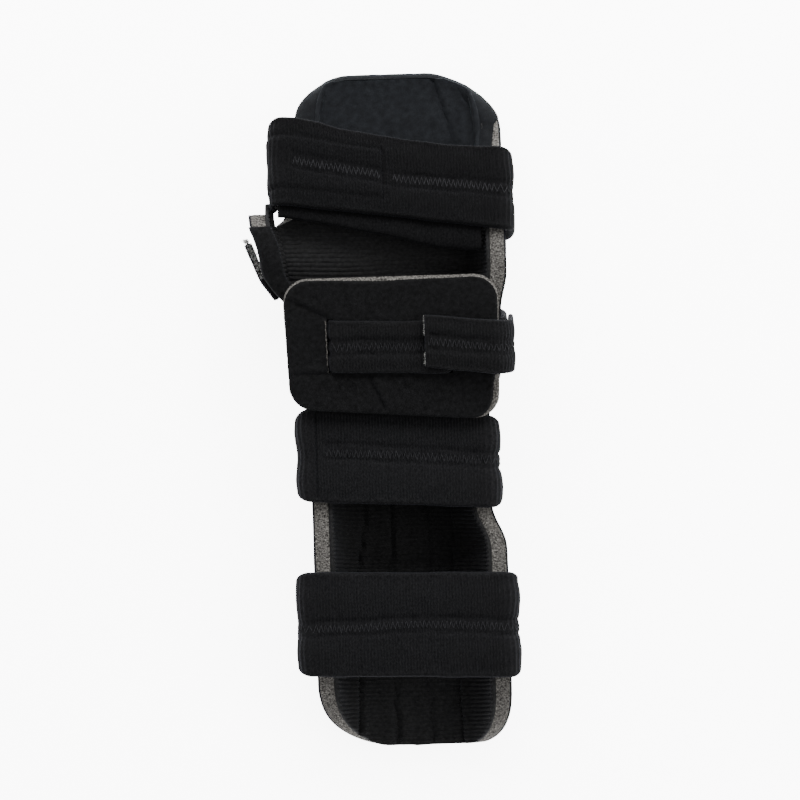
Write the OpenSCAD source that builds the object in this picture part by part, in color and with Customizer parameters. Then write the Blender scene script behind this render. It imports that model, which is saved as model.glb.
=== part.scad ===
// Resting splint for a right hand, wrist and forearm.
// The trough lies palm side down on its forearm floor, fingers towards +Y, thumb towards -X.
// Millimetres, +Z up. The origin is under the middle of the whole splint.

/* [Trough] */
// Length of the trough, from elbow end to fingertips
trough_l = 330; // [326:1:334]
// Half of the trough's width at the forearm, outside
forearm_half = 47.6; // [47.2:0.1:48]
// Radius of the forearm trough's lower corners, outside
forearm_r = 34; // [32:0.5:35]
// Height of the forearm walls
forearm_h = 42; // [41.5:0.1:42]
// Half of the finger pan's width, outside
pan_half = 50.6; // [50:0.1:51]
// Height of the finger pan's walls
pan_h = 24.5; // [24:0.1:24.8]
// Height of the palm's floor at its highest
palm_rise = 30; // [28:0.5:30]

/* [Layers] */
// Thickness of the loop fabric outside
cover_t = 1; // [0.8:0.05:1]
// Thickness of the thermoplastic core
core_t = 1.55; // [1.4:0.05:1.6]
// Thickness of the aluminium stay
stay_t = 2; // [1.5:0.1:2]
// Thickness of the foam, pockets included
foam_t = 6.9; // [6.5:0.1:7]
// Thickness of the ribbed lining
liner_t = 1.5; // [1.2:0.1:1.6]
// Thickness of the finger pad
pad_t = 2.8; // [2:0.1:3]
// Glue line between two layers
glue = 0.1; // [0.05:0.01:0.1]

/* [Straps] */
// Thickness of the three wide straps
strap_t = 4.2; // [3.8:0.1:4.3]
// Width of the hand strap
hand_strap_w = 44; // [42:1:45]
// Width of the mid strap
mid_strap_w = 42.5; // [41:0.5:43.5]
// Width of the forearm strap
forearm_strap_w = 51.5; // [48:0.5:52]
// Thickness of the hook strips
hook_t = 1.6; // [1.2:0.1:1.6]

/* [Wrist pad] */
// Width of the wrist strap and its tab
wrist_strap_w = 27; // [25:1:31]
// Thickness of the wrist strap and its tab
wrist_strap_t = 2.8; // [2.4:0.1:2.8]
// Thickness of the wrist pad's foam
wrist_foam_t = 4.5; // [4:0.1:4.5]
// Thickness of the wrist pad's backing and facing
wrist_skin_t = 1; // [0.8:0.1:1]

/* [Hidden] */
// Where the middle of the trough lies, so that the origin is under the middle of the whole splint
place_x = 10.8;

half_l = trough_l / 2;
quarter_turn = PI / 2;

// Depths below the outside of the trough, layer by layer
core_in = cover_t + glue;
core_out = core_in + core_t;
stay_in = core_out + glue;
stay_out = stay_in + stay_t;
foam_in = cover_t + glue;
foam_out = foam_in + foam_t;
liner_in = foam_out + glue;
liner_out = liner_in + liner_t;
pad_in = liner_out + glue;
pad_out = pad_in + pad_t;

// Tables are pairs of a distance along the splint and a value there
floor_table = [[-10, 0], [10, 2.5], [32, 10.5], [50, 19], [64, palm_rise - 4], [75, palm_rise],
    [84, palm_rise - 1], [100, palm_rise - 5.5], [125, palm_rise - 14.5], [150, palm_rise - 23.5],
    [165, palm_rise - 28]];
height_table = [[0, forearm_h], [10, 41], [32, 38], [50, 33], [75, 27], [100, pan_h + 0.5], [165, pan_h]];
right_half_table = [[-70, forearm_half], [-54, 40.4], [-2, 40.4], [18, forearm_half], [50, forearm_half],
    [64, 51.2], [92, 51.2], [110, pan_half]];
right_r_table = [[18, forearm_r], [50, 30], [75, 18], [110, 16]];
left_half_table = [[38, forearm_half + 0.2], [44, 49], [48, 51], [53, 56], [59, 62], [67, 67.7], [78, 69.3],
    [86, 71.5], [92, 74], [95, 64], [99, 57], [103, 54], [108, 52], [114, pan_half]];
left_r_table = [[18, forearm_r], [38, 28], [48, 22], [59, 12], [92, 12], [99, 14.5], [108, 16]];

// The thumb flap is sewn on along this line: down the wall, along the crease, then it stands free
flap_start_y = 45;
crease_start_y = 59;
web_y = 92;
notch_end_y = 108;
flap_end_y = 103;
crease_r = 12;
flap_seam = 0.4;
thumb_half_table = concat([for (p = left_half_table) if (p[0] <= web_y) p], [[96, 74.5], [flap_end_y, 74.5]]);
thumb_height_table = [[flap_start_y, 35], [58, 26], [68, 22], [90, 22], [95, 19.5], [99, 14], [flap_end_y, 8]];

// Rounding of the trough's four corners: half-girth left at the end, and length of the rounding
elbow_left = [14, 52];
elbow_right = [33, 48];
tip_left = [24, 42];
tip_right = [14, 50];
corner_power = 1.6;

stations = [-half_l, -163, -160, -155, -148, -139, -127, -112, -90, -70, -54, -46, -24, -2, 8, 18, 32, 38,
    flap_start_y, 50, 54.5, crease_start_y, 67, 75, 84, web_y, 95, 99, 103, notch_end_y, 116, 125, 135, 145,
    152, 158, 162, 164, half_l];
flap_lanes = 5;
flap_stay_lanes = [2, 4];
flap_stay_ends = [crease_start_y, 84];
flap_stay_t = 1.2;
flap_stations = [47, 50, 54.5, crease_start_y, 67, 75, 84, web_y, 95, 99, flap_end_y];
lanes = 8;
stay_half = 10;
core_lane = 6;
core_ends = [-148, 145];
stay_ends = [-112, 103];
pad_ends = [103, 162];

wide_leg = 20;
wide_fold = 8;
strap_r = 2.5;
split = 0.3;

// Strap frames: middle of the span's underside, tilt about X, and slant of the strap's edges
hand_frame = [114.2, 46.5, -20, 8.4];
mid_frame = [-25.1, 43.5, 0, 3.4];
forearm_frame = [-104.8, 43.5, 0, 1.8];
wrist_frame = [31, 53.1, 9.5, 1.8];
tab_slant = 6.8;
tab_shift = 6;

// Inner faces of each strap's left leg and right leg
hand_x = [-59.8, 51.5];
mid_x = [-50.2, 41.2];
forearm_x = [-52.4, 48];
wrist_x = [-53.5, 47.9];
hand_leg = 16;
hand_hook_l = 50;
hand_hook_w = 25;

// Wrist pad, seen from above, in the frame of the wrist strap
pad_corners = [[-58.4, 32.9], [46.5, 34.8], [45.5, -36.2], [-56, -29.6]];
pad_corner_r = 12;
slot_x = [-37.2, 21.4];
slot_size = [4, 34];
wrist_leg = 16;
wrist_fold = 17;
tab_end_x = 10;
tab_out_x = wrist_x[1] + 2 * wrist_strap_t + 0.2;
tab_fold = 2;
tab_base_l = 10;

// Thumb strap: its hinge line, its heading from +Y towards -X, and its size
thumb_hinge = [-70, 65];
thumb_heading = 21;
thumb_anchor_heading = 36;
thumb_strap_l = 20;
thumb_anchor_l = 12;
thumb_strap_z = [22, 41];
thumb_strap_t = 2.2;

rivet_r = 2;
rivet_y = [-104, -80, -56, -32];

function radians(a) = a * PI / 180;
function mix(a, b, f) = a + (b - a) * f;
function reversed(v) = [for (k = [len(v) - 1:-1:0]) v[k]];

// A point of half a cross-section: half-width w, corner radius r, distance s along the outside from
// the middle, depth t below the outside
function section_point(w, r, s, t) =
    let (flat = w - r, turn = (s - flat) / r)
    s <= flat ? [s, t]
    : turn <= quarter_turn ? [flat + (r - t) * sin(turn * 180 / PI), r - (r - t) * cos(turn * 180 / PI)]
    : [w - t, r + (turn - quarter_turn) * r];

// Half-girth of a cross-section whose wall is h high
function full_girth(w, r, h) =
    h >= r ? w - r + r * quarter_turn + h - r : w - r + radians(acos(1 - h / r)) * r;

function floor_z(y) = lookup(y, floor_table);
function right_half(y) = lookup(y, right_half_table);
function left_half(y) = lookup(y, left_half_table);
function thumb_half(y) = lookup(y, thumb_half_table);
function right_r(y) = lookup(y, right_r_table);
function left_r(y) = lookup(y, left_r_table);
function thumb_r(y) = y < crease_start_y ? left_r(y) : crease_r;

// What is left of a girth where a corner of the trough is rounded off
function rounded(y, full, elbow, tip) =
    let (d_elbow = (elbow[1] - half_l - y) / elbow[1], d_tip = (y + tip[1] - half_l) / tip[1])
    d_elbow > 0 ? mix(elbow[0], full, pow(1 - pow(d_elbow, corner_power), 1 / corner_power))
    : d_tip > 0 ? mix(tip[0], full, pow(1 - pow(d_tip, corner_power), 1 / corner_power))
    : full;

function right_girth(y) =
    rounded(y, full_girth(right_half(y), right_r(y), lookup(y, height_table)), elbow_right, tip_right);

function left_wall_girth(y) = full_girth(left_half(y), left_r(y), lookup(y, height_table));
function crease_girth(y) = thumb_half(y) - thumb_r(y);

// The left edge runs along the wall top, down to the crease, round the thumb notch and up the pan's wall
function left_girth(y) =
    y < flap_start_y || y > notch_end_y ? rounded(y, left_wall_girth(y), elbow_left, tip_left)
    : y < crease_start_y
        ? mix(left_wall_girth(flap_start_y), crease_girth(crease_start_y),
            (y - flap_start_y) / (crease_start_y - flap_start_y))
    : y < web_y ? crease_girth(y)
    : lookup(y, [[web_y, crease_girth(web_y)], [95, 58], [99, 58], [103, 64], [notch_end_y, left_wall_girth(notch_end_y)]]);

// Distance along the outside of a lane, counted from the middle: the first lane is the stay's edge
function lane_s(girth, lane) = lane == 0 ? 0 : mix(stay_half, girth, (lane - 1) / (lanes - 1));

// A point of the trough, on a lane (negative on the left) at depth t
function trough_point(y, lane, t) =
    let (right = lane >= 0, girth = right ? right_girth(y) : left_girth(y),
        w = right ? right_half(y) : left_half(y), r = right ? right_r(y) : left_r(y),
        p = section_point(w, r, lane_s(girth, abs(lane)), t))
    [place_x + (right ? p.x : -p.x), y, floor_z(y) + p.y];

// A point of the thumb flap at distance s along the outside and depth t
function flap_point(y, s, t) =
    let (p = section_point(thumb_half(y), thumb_r(y), s, t)) [place_x - p.x, y, floor_z(y) + p.y];
function flap_low(y) = flap_seam + (y <= web_y ? left_girth(y) : crease_girth(y));
function flap_high(y) = full_girth(thumb_half(y), thumb_r(y), lookup(y, thumb_height_table));

// A closed sheet between two grids of points of the same size
module sheet(lower, upper) {
    rows = len(lower);
    cols = len(lower[0]);
    count = rows * cols;
    function at(k, i) = k * cols + i;
    points = concat([for (row = lower) for (p = row) p], [for (row = upper) for (p = row) p]);
    low_faces = [for (k = [0:rows - 2]) for (i = [0:cols - 2])
        each [[at(k, i), at(k, i + 1), at(k + 1, i + 1)], [at(k, i), at(k + 1, i + 1), at(k + 1, i)]]];
    high_faces = [for (f = low_faces) [f[2] + count, f[1] + count, f[0] + count]];
    rim = concat([for (i = [0:cols - 1]) at(0, i)], [for (k = [1:rows - 1]) at(k, cols - 1)],
        [for (i = [cols - 2:-1:0]) at(rows - 1, i)], [for (k = [rows - 2:-1:1]) at(k, 0)]);
    n = len(rim);
    rim_faces = [for (j = [0:n - 1]) let (a = rim[j], b = rim[(j + 1) % n])
        each [[a, a + count, b + count], [a, b + count, b]]];
    polyhedron(points, concat(low_faces, high_faces, rim_faces));
}

// A layer of the trough between two depths, over some lanes and a stretch of its length
module layer(depth_in, depth_out, last_lane = lanes, ends = [-half_l, half_l]) {
    ys = [for (y = stations) if (y >= ends[0] && y <= ends[1]) y];
    sheet([for (y = ys) [for (i = [-last_lane:last_lane]) trough_point(y, i, depth_in)]],
        [for (y = ys) [for (i = [-last_lane:last_lane]) trough_point(y, i, depth_out)]]);
}

// The foam is thinner over the core and thinner still over the stay
function pocket_depth(y, lane) =
    abs(lane) <= 1 && y >= stay_ends[0] && y <= stay_ends[1] ? stay_out + glue
    : abs(lane) <= core_lane && y >= core_ends[0] && y <= core_ends[1] ? core_out + glue
    : foam_in;

// The thumb flap's foam is thinner over its own small stay
function flap_depth(y, lane) =
    lane >= flap_stay_lanes[0] && lane <= flap_stay_lanes[1] && y >= flap_stay_ends[0] && y <= flap_stay_ends[1]
    ? foam_in + flap_stay_t + glue : foam_in;

// Rows of points of the thumb flap at one depth
function flap_rows(ys, first, last, depth) =
    [for (y = ys) [for (k = [first:last]) flap_point(y, mix(flap_low(y), flap_high(y), k / flap_lanes), depth)]];

// A layer of the thumb flap between two depths
module flap_layer(depth_in, depth_out) {
    sheet(flap_rows(flap_stations, 0, flap_lanes, depth_in), flap_rows(flap_stations, 0, flap_lanes, depth_out));
}

// Fabric folded over the top edge of the thumb flap
module flap_edge(grip, t) {
    ys = [for (y = flap_stations) if (y <= web_y) y];
    function line(y, g) =
        let (top = flap_high(y) + glue + g, low = flap_high(y) - grip, out = -glue - g, in = liner_out + glue + g)
        [flap_point(y, low, out), flap_point(y, top, out), flap_point(y, top, in), flap_point(y, low, in)];
    sheet([for (y = ys) line(y, t)], [for (y = ys) line(y, 0)]);
}

function arc(cx, cz, r, from, to, steps = 6) =
    [for (k = [0:steps]) let (a = mix(from, to, k / steps)) [cx + r * cos(a), cz + r * sin(a)]];

// The line of a strap that swings, from its left leg over the span to its fold, moved out by d
function swing_line(x, leg, fold, d) =
    concat([[x[0] - d, -leg]], arc(x[0] + strap_r, -strap_r, strap_r + d, 180, 90),
        arc(x[1] - strap_r, -strap_r, strap_r + d, 90, 0), [[x[1] + d, -fold]]);

// The line of a strap's fixed end, down the right wall and round the trough's lower corner
function anchor_line(x, fold, straight, bend_r, bend, d) =
    concat([[x + d, -fold]], arc(x - bend_r, -straight, bend_r + d, 0, -bend));

// The line of the hand strap's hook strip, inside its left leg and under its span
function hook_line(x, leg, length, d) =
    concat([[x[0] - d, -leg]], arc(x[0] + strap_r, -strap_r, strap_r + d, 180, 90), [[x[0] + length, d]]);

module band(inner, outer) { polygon(concat(inner, reversed(outer))); }

// Puts a strap's outline in its frame and cuts it to its width, with slanted edges
module strap(frame, width, slant, shift = 0) {
    reach = 200;
    translate([place_x, frame[0], frame[1]]) rotate([frame[2], 0, 0]) intersection() {
        rotate([90, 0, 0]) linear_extrude(reach, center = true) children();
        translate([0, shift, 0]) rotate([0, 0, -slant]) cube([reach, width, reach], center = true);
    }
}

module wide_swing(frame, x, width, leg = wide_leg) {
    strap(frame, width, frame[3])
        band(swing_line(x, leg, wide_fold, 0), swing_line(x, leg, wide_fold, strap_t));
}

module wide_anchor(frame, x, width, straight, bend_r, bend) {
    fold = wide_fold + split;
    strap(frame, width, frame[3])
        band(anchor_line(x[1], fold, straight, bend_r, bend, 0),
            anchor_line(x[1], fold, straight, bend_r, bend, strap_t));
}

module wide_hook(frame, x, width) {
    strap(frame, width, frame[3])
        translate([x[0] + glue, 2 - wide_leg]) square([hook_t, wide_leg - 2 - strap_r]);
}

// A bar of a strap's outline between two corners
module bar(x0, z0, x1, z1) { translate([x0, z0]) square([x1 - x0, z1 - z0]); }

module outer_cover() { color([0.06, 0.06, 0.07]) layer(0, cover_t); }

module core_shell() { color([0.85, 0.83, 0.78]) layer(core_in, core_out, core_lane, core_ends); }
module palmar_stay() { color([0.75, 0.76, 0.78]) layer(stay_in, stay_out, 1, stay_ends); }

module stay_rivets() {
    color([0.6, 0.6, 0.62]) for (y = rivet_y)
        translate([place_x, y, floor_z(y) + core_in]) cylinder(h = core_t + glue + stay_t, r = rivet_r, $fn = 32);
}

module foam_shell() {
    color([0.4, 0.39, 0.38]) sheet(
        [for (y = stations) [for (i = [-lanes:lanes]) trough_point(y, i, pocket_depth(y, i))]],
        [for (y = stations) [for (i = [-lanes:lanes]) trough_point(y, i, foam_out)]]);
}

module ribbed_liner() { color([0.05, 0.05, 0.05]) layer(liner_in, liner_out); }
module finger_pad() { color([0.08, 0.11, 0.13]) layer(pad_in, pad_out, core_lane, pad_ends); }

module thumb_cover() { color([0.06, 0.06, 0.07]) flap_layer(0, cover_t); }
module thumb_liner() { color([0.05, 0.05, 0.05]) flap_layer(liner_in, liner_out); }
module thumb_edge_wrap() { color([0.03, 0.03, 0.03]) flap_edge(6, 0.6); }

module thumb_stay() {
    ys = [for (y = flap_stations) if (y >= flap_stay_ends[0] && y <= flap_stay_ends[1]) y];
    a = flap_stay_lanes[0];
    b = flap_stay_lanes[1];
    color([0.75, 0.76, 0.78])
        sheet(flap_rows(ys, a, b, foam_in), flap_rows(ys, a, b, foam_in + flap_stay_t));
}

module thumb_foam() {
    color([0.4, 0.39, 0.38]) sheet(
        [for (y = flap_stations) [for (k = [0:flap_lanes])
            flap_point(y, mix(flap_low(y), flap_high(y), k / flap_lanes), flap_depth(y, k))]],
        flap_rows(flap_stations, 0, flap_lanes, foam_out));
}

module hand_strap() { color([0.1, 0.1, 0.13]) wide_swing(hand_frame, hand_x, hand_strap_w, hand_leg); }
module hand_strap_anchor() { color([0.1, 0.1, 0.13]) wide_anchor(hand_frame, hand_x, hand_strap_w, 11, 17, 30); }
module hand_strap_hook() {
    color([0.02, 0.02, 0.02]) strap(hand_frame, hand_hook_w, hand_frame[3])
        band(hook_line(hand_x, hand_leg - 2, hand_hook_l, -glue - hook_t),
            hook_line(hand_x, hand_leg - 2, hand_hook_l, -glue));
}

module mid_strap() { color([0.1, 0.1, 0.13]) wide_swing(mid_frame, mid_x, mid_strap_w); }
module mid_strap_anchor() { color([0.1, 0.1, 0.13]) wide_anchor(mid_frame, mid_x, mid_strap_w, 9.7, forearm_r, 48); }
module mid_strap_hook() { color([0.02, 0.02, 0.02]) wide_hook(mid_frame, mid_x, mid_strap_w - 8); }

module forearm_strap() { color([0.1, 0.1, 0.13]) wide_swing(forearm_frame, forearm_x, forearm_strap_w); }
module forearm_strap_anchor() {
    color([0.1, 0.1, 0.13]) wide_anchor(forearm_frame, forearm_x, forearm_strap_w, 9.7, forearm_r, 48);
}
module forearm_strap_hook() { color([0.02, 0.02, 0.02]) wide_hook(forearm_frame, forearm_x, forearm_strap_w - 8); }

// Heights in the wrist strap's frame: under the pad, on the pad, and the tab above that
under_z = [-glue - wrist_strap_t, -glue];
pad_z = 2 * wrist_skin_t + wrist_foam_t + 2 * glue;
over_z = [pad_z + glue, pad_z + glue + wrist_strap_t];
tab_hook_z = [over_z[1] + glue, over_z[1] + glue + hook_t];
tab_z = [tab_hook_z[1] + glue, tab_hook_z[1] + glue + wrist_strap_t];

module wrist_strap() {
    t = wrist_strap_t;
    rise = [slot_x[0] - t / 2, slot_x[1] - t / 2];
    color([0.09, 0.09, 0.11]) strap(wrist_frame, wrist_strap_w, wrist_frame[3]) {
        bar(wrist_x[0] - t, under_z[0] - wrist_leg, wrist_x[0], under_z[1]);
        bar(wrist_x[0] - t, under_z[0], rise[0] + t, under_z[1]);
        bar(rise[0], under_z[0], rise[0] + t, over_z[1]);
        bar(rise[0], over_z[0], rise[1] + t, over_z[1]);
        bar(rise[1], under_z[0], rise[1] + t, over_z[1]);
        bar(rise[1], under_z[0], wrist_x[1] + t, under_z[1]);
        bar(wrist_x[1], -wrist_fold, wrist_x[1] + t, under_z[1]);
    }
}

module wrist_strap_hook() {
    color([0.02, 0.02, 0.02]) strap(wrist_frame, wrist_strap_w - 5, wrist_frame[3])
        bar(wrist_x[0] + glue, under_z[0] - wrist_leg + 1, wrist_x[0] + glue + hook_t, under_z[0] - glue);
}

module wrist_strap_anchor() {
    fold = wrist_fold + split;
    color([0.09, 0.09, 0.11]) strap(wrist_frame, wrist_strap_w, wrist_frame[3])
        band(anchor_line(wrist_x[1], fold, fold + 1, forearm_r, 35, 0),
            anchor_line(wrist_x[1], fold, fold + 1, forearm_r, 35, wrist_strap_t));
}

module wrist_tab_base() {
    color([0.09, 0.09, 0.11]) strap(wrist_frame, wrist_strap_w, tab_slant, tab_shift)
        bar(tab_out_x - wrist_strap_t, -tab_fold - split - tab_base_l, tab_out_x, -tab_fold - split);
}

// The tab runs over the pad and down outside the wrist strap's right leg
function tab_line(d) =
    let (r = tab_z[0] - 2, x = tab_out_x - wrist_strap_t)
    concat([[tab_end_x, tab_z[0] + d]], arc(x - r, tab_z[0] - r, r + d, 90, 0), [[x + d, -tab_fold]]);

module wrist_tab() {
    color([0.09, 0.09, 0.11]) strap(wrist_frame, wrist_strap_w, tab_slant, tab_shift)
        band(tab_line(0), tab_line(wrist_strap_t));
}

module wrist_tab_hook() {
    color([0.02, 0.02, 0.02]) strap(wrist_frame, wrist_strap_w - 4, tab_slant, tab_shift)
        bar(tab_end_x + 1, tab_hook_z[0], slot_x[1] + 1, tab_hook_z[1]);
}

// Corner k of a convex outline, as an arc of radius r
function corner_arc(v, k, r) =
    let (n = len(v), p = v[k], a = v[(k + n - 1) % n] - p, b = v[(k + 1) % n] - p,
        ua = a / norm(a), ub = b / norm(b), half = acos(ua * ub) / 2,
        c = p + (ua + ub) / norm(ua + ub) * r / sin(half),
        ta = p + ua * r / tan(half) - c, tb = p + ub * r / tan(half) - c,
        from = atan2(ta.y, ta.x), turn = (atan2(tb.y, tb.x) - from + 540) % 360 - 180)
    [for (j = [0:6]) c + r * [cos(from + turn * j / 6), sin(from + turn * j / 6)]];

module wrist_plate(z, t) {
    translate([place_x, wrist_frame[0], wrist_frame[1]]) rotate([wrist_frame[2], 0, 0]) translate([0, 0, z])
        linear_extrude(t) difference() {
            polygon([for (k = [0:3]) each corner_arc(pad_corners, k, pad_corner_r)]);
            for (x = slot_x) translate([x, 0]) square(slot_size, center = true);
        }
}

module wrist_pad_backing() { color([0.05, 0.05, 0.06]) wrist_plate(0, wrist_skin_t); }
module wrist_pad_foam() { color([0.4, 0.39, 0.38]) wrist_plate(wrist_skin_t + glue, wrist_foam_t); }
module wrist_pad_facing() {
    color([0.05, 0.05, 0.06]) wrist_plate(wrist_skin_t + wrist_foam_t + 2 * glue, wrist_skin_t);
}

// An upright plank that starts at the thumb strap's hinge
module thumb_plank(heading, from, to, side, t, inset = 0) {
    z0 = thumb_strap_z[0] + inset;
    translate([place_x + thumb_hinge.x, thumb_hinge.y, z0]) rotate([0, 0, heading])
        translate([side, from, 0]) cube([t, to - from, thumb_strap_z[1] - inset - z0]);
}

module thumb_strap() { color([0.09, 0.09, 0.11]) thumb_plank(thumb_heading, 0, thumb_strap_l, 0, thumb_strap_t); }
module thumb_strap_hook() {
    color([0.02, 0.02, 0.02])
        thumb_plank(thumb_heading, 8, thumb_strap_l - 1, thumb_strap_t + glue, 1, 2);
}
module thumb_strap_anchor() {
    color([0.09, 0.09, 0.11])
        thumb_plank(thumb_anchor_heading, -thumb_anchor_l, -4 * split, 0, thumb_strap_t);
}

outer_cover();
core_shell();
palmar_stay();
stay_rivets();
foam_shell();
ribbed_liner();
finger_pad();
thumb_cover();
thumb_foam();
thumb_liner();
thumb_edge_wrap();
thumb_stay();
hand_strap();
hand_strap_hook();
hand_strap_anchor();
mid_strap();
mid_strap_hook();
mid_strap_anchor();
forearm_strap();
forearm_strap_hook();
forearm_strap_anchor();
wrist_strap();
wrist_strap_hook();
wrist_strap_anchor();
wrist_tab_base();
wrist_tab();
wrist_tab_hook();
wrist_pad_backing();
wrist_pad_foam();
wrist_pad_facing();
thumb_strap();
thumb_strap_hook();
thumb_strap_anchor();
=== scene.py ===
"""Looks of a resting hand, wrist and forearm splint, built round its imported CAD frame.

Shapes are worked out in millimetres in the trough's own frame (x from the trough's middle, y towards
the fingertips, z up) and turned into metres in the row frame when a mesh is made.
"""
import math

import bpy
import numpy as np
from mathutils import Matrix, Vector


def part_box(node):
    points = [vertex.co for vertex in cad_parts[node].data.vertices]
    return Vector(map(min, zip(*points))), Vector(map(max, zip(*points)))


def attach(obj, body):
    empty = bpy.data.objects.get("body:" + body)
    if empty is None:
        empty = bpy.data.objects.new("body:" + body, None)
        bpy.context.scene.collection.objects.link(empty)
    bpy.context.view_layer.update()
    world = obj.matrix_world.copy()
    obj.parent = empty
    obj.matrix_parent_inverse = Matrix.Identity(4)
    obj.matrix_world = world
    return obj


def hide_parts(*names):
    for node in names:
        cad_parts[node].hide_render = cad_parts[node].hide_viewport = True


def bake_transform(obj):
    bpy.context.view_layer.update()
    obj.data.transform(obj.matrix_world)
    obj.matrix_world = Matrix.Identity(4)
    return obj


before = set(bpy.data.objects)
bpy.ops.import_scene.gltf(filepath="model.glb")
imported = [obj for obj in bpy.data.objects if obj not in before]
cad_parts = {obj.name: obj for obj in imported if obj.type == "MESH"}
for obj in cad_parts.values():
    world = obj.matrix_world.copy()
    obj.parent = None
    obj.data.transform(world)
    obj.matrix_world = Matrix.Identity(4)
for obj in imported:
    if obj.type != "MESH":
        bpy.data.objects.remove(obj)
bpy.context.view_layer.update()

MM = 0.001

# Half the trough's length, from the outer cover, and its middle across, from the row of rivets
cover_low, cover_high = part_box("outer_cover")
HALF = (cover_high.y - cover_low.y) / 2 / MM
rivets_low, rivets_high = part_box("stay_rivets")
PLACE_X = (rivets_low.x + rivets_high.x) / 2 / MM

# ---------------------------------------------------------------- the trough's shape, as in the CAD

FOREARM_HALF = 47.6
MID_HALF = 40.4
PALM_HALF = 51.2
PAN_HALF = 50.6
PALM_RISE = 30
COVER_OUT = 1.05
FOAM_IN, FOAM_OUT = 1.1, 8.0
LINER_IN, LINER_OUT = 8.1, 9.6
PAD_IN, PAD_OUT = 9.7, 12.5
PAD_ENDS = (103, 163)
FLAP_START, CREASE_START, WEB, NOTCH_END, FLAP_END = 45, 59, 92, 108, 103
CREASE_R = 12
CORNER_POWER = 1.6

GRID = np.linspace(-HALF, HALF, 1321)


def smooth_values(values, spread):
    """values on GRID, smoothed over about spread mm."""
    step = GRID[1] - GRID[0]
    n = int(3 * spread / step)
    k = np.exp(-0.5 * (np.arange(-n, n + 1) * step / spread) ** 2)
    return np.convolve(np.pad(values, n, mode="edge"), k / k.sum(), "valid")


def curve_of(pairs, spread=4.0):
    """A table of (place along the splint, value) as smooth values on GRID."""
    return smooth_values(np.interp(GRID, *zip(*pairs)), spread)


def at(values, y):
    return np.interp(y, GRID, values)


floor_z = curve_of([(-10, 0), (10, 2.5), (32, 10.5), (50, 19), (64, PALM_RISE - 4), (75, PALM_RISE),
    (84, PALM_RISE - 1), (100, PALM_RISE - 5.5), (125, PALM_RISE - 14.5), (150, PALM_RISE - 23.5),
    (165, PALM_RISE - 28)])
wall_h = curve_of([(0, 42), (10, 41), (32, 38), (50, 33), (75, 27), (100, 25), (165, 24.5)])
right_half = curve_of([(-64, FOREARM_HALF), (-51, MID_HALF), (-2, MID_HALF), (18, FOREARM_HALF),
    (50, FOREARM_HALF), (64, PALM_HALF), (92, PALM_HALF), (110, PAN_HALF)])
right_r = curve_of([(18, 34), (50, 30), (75, 18), (110, 16)])
wall_line = [(38, FOREARM_HALF + 0.2), (44, 49), (48, 51), (53, 56), (59, 62), (67, 67.7), (78, 69.3),
    (86, 71.5), (92, 74)]
left_half = curve_of(wall_line + [(95, 64), (99, 57), (103, 54), (108, 52), (114, PAN_HALF)], 1.5)
left_r = curve_of([(18, 34), (38, 28), (48, 22), (59, 12), (92, 12), (99, 14.5), (108, 16)], 2)
thumb_half = curve_of(wall_line + [(96, 74.5), (103, 74.5)], 2)
thumb_r = np.where(GRID < CREASE_START, left_r, CREASE_R)
thumb_h = curve_of([(45, 35), (58, 26), (68, 22), (90, 22), (95, 19.5), (99, 14), (103, 8)], 1.5)


def full_girth(w, r, h):
    low = np.arccos(np.clip(1 - h / r, -1, 1)) * r
    return w - r + np.where(h >= r, r * math.pi / 2 + h - r, low)


def rounded(full, elbow, tip):
    d = np.maximum((elbow[1] - HALF - GRID) / elbow[1], 0)
    e = np.maximum((GRID + tip[1] - HALF) / tip[1], 0)
    left = (1 - np.clip(np.maximum(d, e), 0, 1) ** CORNER_POWER) ** (1 / CORNER_POWER)
    end = np.where(d > 0, elbow[0], tip[0])
    return end + (full - end) * left


right_girth = rounded(full_girth(right_half, right_r, wall_h), (33, 48), (14, 50))
left_wall = full_girth(left_half, left_r, wall_h)
crease = thumb_half - thumb_r
left_edge = [(FLAP_START, at(left_wall, FLAP_START)), (CREASE_START, at(crease, CREASE_START))]
left_edge += [(y, at(crease, y)) for y in range(61, WEB, 3)] + [(WEB, at(crease, WEB)), (95, 58), (99, 58),
    (103, 64), (NOTCH_END, at(left_wall, NOTCH_END))]
in_thumb = (GRID > FLAP_START) & (GRID < NOTCH_END)
left_girth = np.where(in_thumb, np.interp(GRID, *zip(*left_edge)), rounded(left_wall, (14, 52), (24, 42)))
flap_low = np.where(GRID <= WEB, left_girth, crease) + 0.4
flap_high = full_girth(thumb_half, thumb_r, thumb_h)


def section(w, r, s, t):
    """x and z of half a cross-section at distance s along its outside and depth t."""
    flat = w - r
    turn = np.clip((s - flat) / r, 0, math.pi / 2)
    past = np.maximum(s - flat - r * math.pi / 2, 0)
    return np.minimum(s, flat) + (r - t) * np.sin(turn), r - (r - t) * np.cos(turn) + past


def trough(y, s, t):
    """Points of the trough at signed distance s along its outside (negative on the left), depth t."""
    y, s, t = np.broadcast_arrays(np.asarray(y, float), s, t)
    right = s >= 0
    w = np.where(right, at(right_half, y), at(left_half, y))
    r = np.where(right, at(right_r, y), at(left_r, y))
    x, z = section(w, r, np.abs(s), t)
    return np.stack([np.where(right, x, -x), y, at(floor_z, y) + z], -1)


def flap(y, s, t):
    """Points of the thumb flap at distance s along its outside and depth t."""
    y, s, t = np.broadcast_arrays(np.asarray(y, float), s, t)
    x, z = section(at(thumb_half, y), at(thumb_r, y), s, t)
    return np.stack([-x, y, at(floor_z, y) + z], -1)


# ---------------------------------------------------------------- noise and meshes

def lattice(i, j, seed):
    h = np.sin(i * 127.1 + j * 311.7 + seed * 74.7) * 43758.5453
    return (h - np.floor(h)) * 2 - 1


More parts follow.
